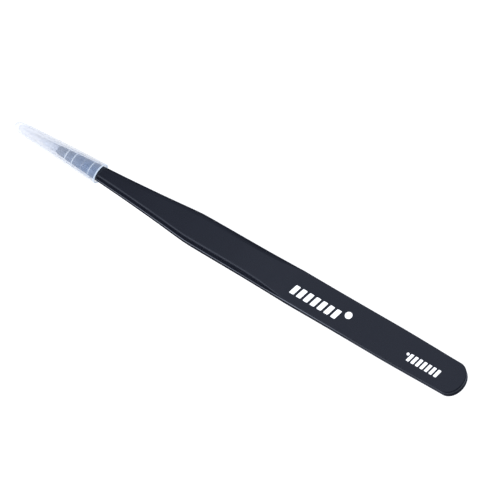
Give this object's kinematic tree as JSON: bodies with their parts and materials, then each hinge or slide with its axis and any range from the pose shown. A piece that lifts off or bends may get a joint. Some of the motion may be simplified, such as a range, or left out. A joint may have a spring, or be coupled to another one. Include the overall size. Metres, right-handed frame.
{
  "type": "precision tweezers",
  "caption": "Straight fine-point precision tweezers with black coated spring arms, a rounded welded tail and a translucent slip-on tip cap.",
  "frame": {"origin": "centre of the capped tweezers' overall box: on the centre line, halfway between the two arms, 71.45 mm from the tail end", "axes": "+X from the tail to the points, +Z out of the upper arm's broad face, +Y to the left when looking along +X"},
  "size_m": [0.143, 0.009, 0.0042],
  "materials": {
    "coated_steel": "smooth satin black coating on stainless steel",
    "spacer_steel": "plain rolled stainless plate, hidden under the coating at its rim",
    "fused_steel": "dull fused metal inside the stack",
    "cap_plastic": "translucent frosted plastic with a faint blue cast"
  },
  "bodies": {
    "tail_stack": {"upper_arm_tail": "coated_steel", "lower_arm_tail": "coated_steel", "tail_spacer": "spacer_steel", "spot_weld_rear": "fused_steel", "spot_weld_front": "fused_steel"},
    "upper_arm": {"upper_arm_blade": "coated_steel"},
    "lower_arm": {"lower_arm_blade": "coated_steel"},
    "cap": {"tip_cap": "cap_plastic"}
  },
  "joints": [
    {"name": "cap_slide", "type": "slide", "parent": "tail_stack", "child": "cap", "axis": [1, 0, 0], "range_m": [0, 0.095]},
    {"name": "upper_arm_flex", "type": "hinge", "parent": "tail_stack", "child": "upper_arm", "pos_m": [-0.03745, 0, 0.00077], "axis": [0, -1, 0], "range_deg": [0, 2.4]},
    {"name": "lower_arm_flex", "type": "hinge", "parent": "tail_stack", "child": "lower_arm", "pos_m": [-0.03745, 0, -0.00077], "axis": [0, 1, 0], "range_deg": [0, 2.4]}
  ],
  "couplings": [
    {"joint": "upper_arm_flex", "follows": "cap_slide", "rad_per_m": 0.44},
    {"joint": "lower_arm_flex", "follows": "cap_slide", "rad_per_m": 0.44}
  ]
}
